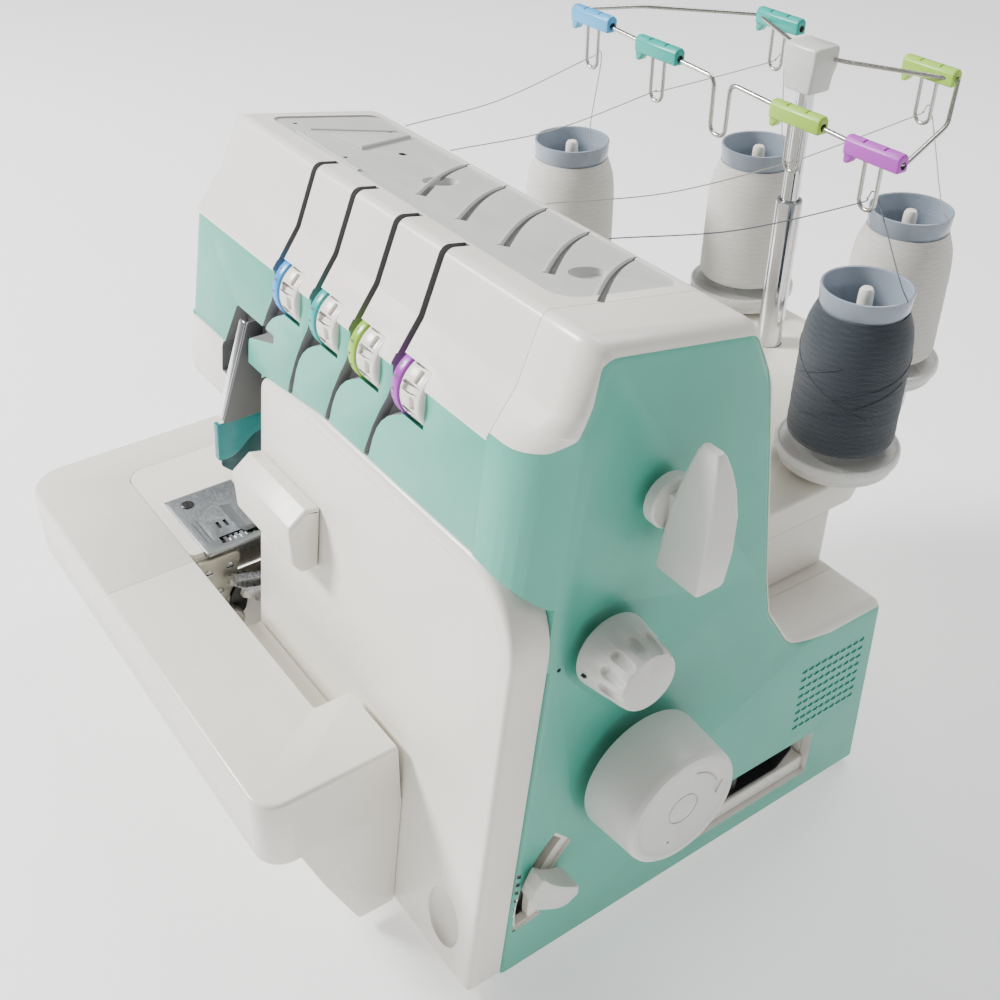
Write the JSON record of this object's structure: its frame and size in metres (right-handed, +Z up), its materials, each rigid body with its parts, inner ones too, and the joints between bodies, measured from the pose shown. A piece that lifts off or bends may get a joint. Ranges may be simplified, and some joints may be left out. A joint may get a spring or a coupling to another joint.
{
  "type": "serger overlock machine",
  "caption": "Overlock sewing machine with tension dials, handwheel, looper cover, wrap-round extension table, spool stand and telescopic thread guide tree.",
  "frame": {"origin": "centre of the overall box on the floor, under the rubber feet", "axes": "+X to the handwheel side, +Y to the rear where the thread stand is, +Z up; the operator sits at -Y"},
  "size_m": [0.3556, 0.3906, 0.3071],
  "materials": {
    "base": "fine texture",
    "cast_frame": "cast",
    "mint": "satin gloss",
    "white": "satin gloss",
    "cream": "fine satin",
    "plate_steel": "brushed",
    "chrome": "polished",
    "black": "satin",
    "motor": "satin",
    "belt": "matte",
    "lens": "frosted",
    "spool_rest": "translucent",
    "thread_white": "wound thread",
    "thread_dark": "wound thread",
    "wire": "bright wire",
    "steel": "ground",
    "ring_blue": "gloss",
    "ring_turquoise": "gloss",
    "ring_lime": "gloss",
    "ring_violet": "gloss",
    "tinted_clear": "tinted, clear"
  },
  "bodies": {
    "machine": {"base_plate": "base", "frame_casting": "cast_frame", "end_cap": "mint", "end_trim": "white", "upper_housing": "white", "front_panel": "mint", "head_housing": "mint", "rear_housing": "cream", "bed_housing": "white", "cloth_plate": "white", "needle_plate": "plate_steel", "face_plate": "chrome", "power_inlet": "black", "motor": "motor", "drive_belt": "belt", "lamp": "lens", "spool_stand": "cream", "spool_pin_1": "spool_rest", "spool_pin_2": "spool_rest", "spool_pin_3": "spool_rest", "spool_pin_4": "spool_rest", "pole_outer": "chrome", "thread_1": "thread_white", "thread_2": "thread_white", "thread_3": "thread_white", "thread_4": "thread_dark"},
    "handwheel": {"handwheel": "white", "main_shaft": "steel"},
    "motor_pulley": {"motor_pulley": "steel"},
    "tension_dial_1": {"dial_1": "white", "dial_ring_1": "ring_blue"},
    "tension_dial_2": {"dial_2": "white", "dial_ring_2": "ring_turquoise"},
    "tension_dial_3": {"dial_3": "white", "dial_ring_3": "ring_lime"},
    "tension_dial_4": {"dial_4": "white", "dial_ring_4": "ring_violet"},
    "stitch_dial": {"stitch_length_dial": "white"},
    "lifter": {"presser_lifter": "white"},
    "feed_lever": {"feed_lever": "white"},
    "rocker": {"power_switch": "black"},
    "needle_bar": {"needle_bar": "steel", "needle_clamp": "steel"},
    "presser": {"presser_bar": "steel", "presser_foot": "steel"},
    "lower_looper": {"lower_looper": "steel"},
    "upper_looper": {"upper_looper": "steel"},
    "upper_knife": {"upper_knife": "steel"},
    "feed_dog": {"feed_dog": "steel"},
    "cover": {"front_cover": "white", "chip_guard": "white"},
    "table": {"extension_table": "white"},
    "eye_guard": {"eye_guard": "tinted_clear"},
    "thread_tree": {"pole_inner": "chrome", "guide_bar": "wire"},
    "cone_1": {"thread_cone_1": "thread_white"},
    "cone_2": {"thread_cone_2": "thread_white"},
    "cone_3": {"thread_cone_3": "thread_white"},
    "cone_4": {"thread_cone_4": "thread_dark"}
  },
  "joints": [
    {"name": "handwheel_turn", "type": "hinge", "parent": "machine", "child": "handwheel", "pos_m": [0.1472, -0.06145, 0.0956], "axis": [1, 0, 0], "continuous": true},
    {"name": "motor_turn", "type": "hinge", "parent": "machine", "child": "motor_pulley", "pos_m": [0.1472, 0.02475, 0.071], "axis": [1, 0, 0], "continuous": true},
    {"name": "tension_1_turn", "type": "hinge", "parent": "machine", "child": "tension_dial_1", "pos_m": [-0.0253, -0.10125, 0.243], "axis": [1, 0, 0], "range_deg": [-160, 160]},
    {"name": "tension_2_turn", "type": "hinge", "parent": "machine", "child": "tension_dial_2", "pos_m": [0.0046, -0.10125, 0.243], "axis": [1, 0, 0], "range_deg": [-160, 160]},
    {"name": "tension_3_turn", "type": "hinge", "parent": "machine", "child": "tension_dial_3", "pos_m": [0.0345, -0.10125, 0.243], "axis": [1, 0, 0], "range_deg": [-160, 160]},
    {"name": "tension_4_turn", "type": "hinge", "parent": "machine", "child": "tension_dial_4", "pos_m": [0.0644, -0.10125, 0.243], "axis": [1, 0, 0], "range_deg": [-160, 160]},
    {"name": "stitch_length_turn", "type": "hinge", "parent": "machine", "child": "stitch_dial", "pos_m": [0.1472, -0.08055, 0.1675], "axis": [1, 0, 0], "range_deg": [-150, 150]},
    {"name": "lifter_turn", "type": "hinge", "parent": "machine", "child": "lifter", "pos_m": [0.1472, -0.06125, 0.226], "axis": [1, 0, 0], "range_deg": [0, 50]},
    {"name": "feed_lever_turn", "type": "hinge", "parent": "machine", "child": "feed_lever", "pos_m": [0.1472, -0.06225, 0.034], "axis": [1, 0, 0], "range_deg": [-20, 20]},
    {"name": "rocker_tilt", "type": "hinge", "parent": "machine", "child": "rocker", "pos_m": [0.1377, -0.00325, 0.03], "axis": [0, 0, 1], "range_deg": [-7, 7]},
    {"name": "needle_bar_slide", "type": "slide", "parent": "machine", "child": "needle_bar", "axis": [0, 0, 1], "range_m": [-0.026, 0]},
    {"name": "presser_slide", "type": "slide", "parent": "machine", "child": "presser", "axis": [0, 0, 1], "range_m": [0, 0.006]},
    {"name": "lower_looper_rock", "type": "hinge", "parent": "machine", "child": "lower_looper", "pos_m": [-0.0613, -0.09125, 0.049], "axis": [1, 0, 0], "range_deg": [-6, 6]},
    {"name": "upper_looper_rock", "type": "hinge", "parent": "machine", "child": "upper_looper", "pos_m": [-0.0523, -0.09125, 0.049], "axis": [1, 0, 0], "range_deg": [-6, 6]},
    {"name": "upper_knife_rock", "type": "hinge", "parent": "machine", "child": "upper_knife", "pos_m": [-0.0453, -0.09125, 0.049], "axis": [1, 0, 0], "range_deg": [-4, 4]},
    {"name": "feed_dog_slide", "type": "slide", "parent": "machine", "child": "feed_dog", "axis": [0, 1, 0], "range_m": [-0.0015, 0.0015]},
    {"name": "cover_slide", "type": "slide", "parent": "machine", "child": "cover", "axis": [1, 0, 0], "range_m": [0, 0.005]},
    {"name": "table_slide", "type": "slide", "parent": "machine", "child": "table", "axis": [0, -1, 0], "range_m": [0, 0.07]},
    {"name": "eye_guard_swing", "type": "hinge", "parent": "machine", "child": "eye_guard", "pos_m": [-0.0648, -0.12825, 0.1745], "axis": [-1, 0, 0], "range_deg": [0, 60]},
    {"name": "pole_slide", "type": "slide", "parent": "machine", "child": "thread_tree", "axis": [0, 0, 1], "range_m": [-0.025, 0], "deforming": ["thread_1", "thread_2", "thread_3", "thread_4"]},
    {"name": "cone_1_turn", "type": "hinge", "parent": "machine", "child": "cone_1", "pos_m": [-0.0988, 0.09275, 0.169], "axis": [0, 0, 1], "continuous": true},
    {"name": "cone_2_turn", "type": "hinge", "parent": "machine", "child": "cone_2", "pos_m": [-0.0398, 0.16775, 0.169], "axis": [0, 0, 1], "continuous": true},
    {"name": "cone_3_turn", "type": "hinge", "parent": "machine", "child": "cone_3", "pos_m": [0.0582, 0.16775, 0.169], "axis": [0, 0, 1], "continuous": true},
    {"name": "cone_4_turn", "type": "hinge", "parent": "machine", "child": "cone_4", "pos_m": [0.1002, 0.09075, 0.169], "axis": [0, 0, 1], "continuous": true}
  ],
  "couplings": [
    {"joint": "motor_turn", "follows": "handwheel_turn", "ratio": 4},
    {"joint": "lifter_turn", "follows": "presser_slide", "rad_per_m": 145}
  ]
}
